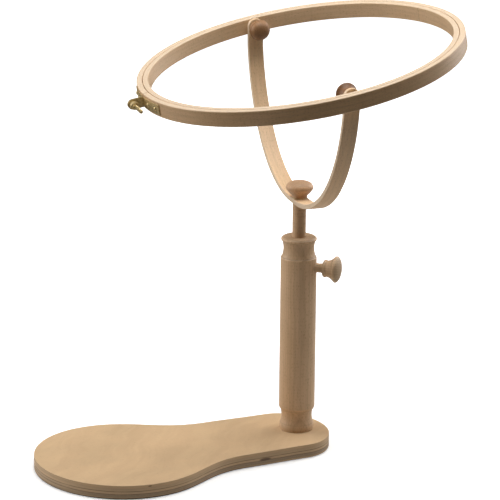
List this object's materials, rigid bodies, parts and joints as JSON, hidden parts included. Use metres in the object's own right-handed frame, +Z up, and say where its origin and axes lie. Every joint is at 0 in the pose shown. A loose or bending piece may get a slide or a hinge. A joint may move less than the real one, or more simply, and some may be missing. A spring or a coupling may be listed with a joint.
{
  "type": "embroidery hoop on stand",
  "caption": "Double wooden embroidery hoop tilting in a bentwood fork on a sliding dowel mast, held by a turned column on a keyhole-shaped plywood foot board.",
  "frame": {"origin": "on the floor, under the axis of the turned column", "axes": "+Z up along the column and mast; -X towards the wide end of the foot board"},
  "size_m": [0.3908, 0.2896, 0.3847],
  "materials": {
    "board_plywood": "waxed birch plywood",
    "column_wood": "waxed turned beech",
    "mast_wood": "waxed beech dowel",
    "knob_wood": "waxed turned beech",
    "fork_wood": "bent beech strip",
    "ring_wood": "bent beech band",
    "brass": "aged brass",
    "steel": "zinc-plated steel"
  },
  "bodies": {
    "stand": {"base_board": "board_plywood", "column": "column_wood", "column_screws": "steel", "clamp_insert": "brass"},
    "mast_rod": {"mast": "mast_wood", "mast_insert": "brass"},
    "fork": {"fork_strip": "fork_wood", "pivot_spacer_front": "brass", "pivot_spacer_back": "brass"},
    "hoop": {"inner_ring": "ring_wood", "pivot_bolt_front": "steel", "pivot_bolt_back": "steel"},
    "outer_hoop": {"outer_ring": "ring_wood", "bracket_front": "brass", "bracket_back": "brass", "bracket_rivets": "brass", "tension_screw": "brass"},
    "clamp_pad_unit": {"clamp_pad": "brass"},
    "clamp_knob_unit": {"clamp_knob": "knob_wood", "clamp_screw": "steel"},
    "fork_washer_unit": {"fork_washer": "brass"},
    "fork_knob_unit": {"fork_knob": "knob_wood", "fork_stud": "steel"},
    "front_washer_unit": {"pivot_washer_front": "brass"},
    "front_knob_unit": {"pivot_knob_front": "knob_wood", "pivot_insert_front": "brass"},
    "back_washer_unit": {"pivot_washer_back": "brass"},
    "back_knob_unit": {"pivot_knob_back": "knob_wood", "pivot_insert_back": "brass"},
    "tension_washer_unit": {"tension_washer": "brass"},
    "tension_nut_unit": {"tension_nut": "brass"}
  },
  "joints": [
    {"name": "mast_height", "type": "slide", "parent": "stand", "child": "mast_rod", "axis": [0, 0, 1], "range_m": [-0.03, 0.07]},
    {"name": "fork_swivel", "type": "hinge", "parent": "mast_rod", "child": "fork", "pos_m": [0, 0, 0.225], "axis": [0, 0, 1], "continuous": true},
    {"name": "hoop_tilt", "type": "hinge", "parent": "fork", "child": "hoop", "pos_m": [0, 0, 0.3507], "axis": [-0.1305, -0.9911, -0.0251], "range_deg": [-86, 64]},
    {"name": "outer_hoop_lift", "type": "slide", "parent": "hoop", "child": "outer_hoop", "axis": [-0.1891, 0, 0.982], "range_m": [0, 0.04]},
    {"name": "clamp_knob_travel", "type": "slide", "parent": "stand", "child": "clamp_pad_unit", "axis": [0.7314, -0.682, 0], "range_m": [0, 0.002]},
    {"name": "clamp_knob_turn", "type": "hinge", "parent": "clamp_pad_unit", "child": "clamp_knob_unit", "pos_m": [0, 0, 0.1644], "axis": [0.7314, -0.682, 0], "range_deg": [0, 720.1]},
    {"name": "fork_knob_travel", "type": "slide", "parent": "mast_rod", "child": "fork_washer_unit", "axis": [0, 0, 1], "range_m": [0, 0.0016]},
    {"name": "fork_knob_turn", "type": "hinge", "parent": "fork_washer_unit", "child": "fork_knob_unit", "pos_m": [0, 0, 0.2281], "axis": [0, 0, 1], "range_deg": [0, 720.1]},
    {"name": "front_knob_travel", "type": "slide", "parent": "hoop", "child": "front_washer_unit", "axis": [0.1305, 0.9911, 0.0251], "range_m": [0, 0.0014]},
    {"name": "front_knob_turn", "type": "hinge", "parent": "front_washer_unit", "child": "front_knob_unit", "pos_m": [-0.01566, -0.11894, 0.34769], "axis": [0.1305, 0.9911, 0.0251], "range_deg": [0, 720.1]},
    {"name": "back_knob_travel", "type": "slide", "parent": "hoop", "child": "back_washer_unit", "axis": [-0.1305, -0.9911, -0.0251], "range_m": [0, 0.0014]},
    {"name": "back_knob_turn", "type": "hinge", "parent": "back_washer_unit", "child": "back_knob_unit", "pos_m": [0.01566, 0.11894, 0.35372], "axis": [-0.1305, -0.9911, -0.0251], "range_deg": [0, 720.1]},
    {"name": "tension_nut_travel", "type": "slide", "parent": "outer_hoop", "child": "tension_washer_unit", "axis": [-0.1342, -0.9906, -0.0259], "range_m": [0, 0.0012]},
    {"name": "tension_nut_turn", "type": "hinge", "parent": "tension_washer_unit", "child": "tension_nut_unit", "pos_m": [-0.15087, 0.0212, 0.32165], "axis": [-0.1342, -0.9906, -0.0259], "range_deg": [0, 720.1]}
  ],
  "couplings": [
    {"joint": "clamp_knob_turn", "follows": "clamp_knob_travel", "rad_per_m": 6283.2},
    {"joint": "fork_knob_turn", "follows": "fork_knob_travel", "rad_per_m": 7854},
    {"joint": "front_knob_turn", "follows": "front_knob_travel", "rad_per_m": 8976},
    {"joint": "back_knob_turn", "follows": "back_knob_travel", "rad_per_m": 8976},
    {"joint": "tension_nut_turn", "follows": "tension_nut_travel", "rad_per_m": 10472}
  ]
}
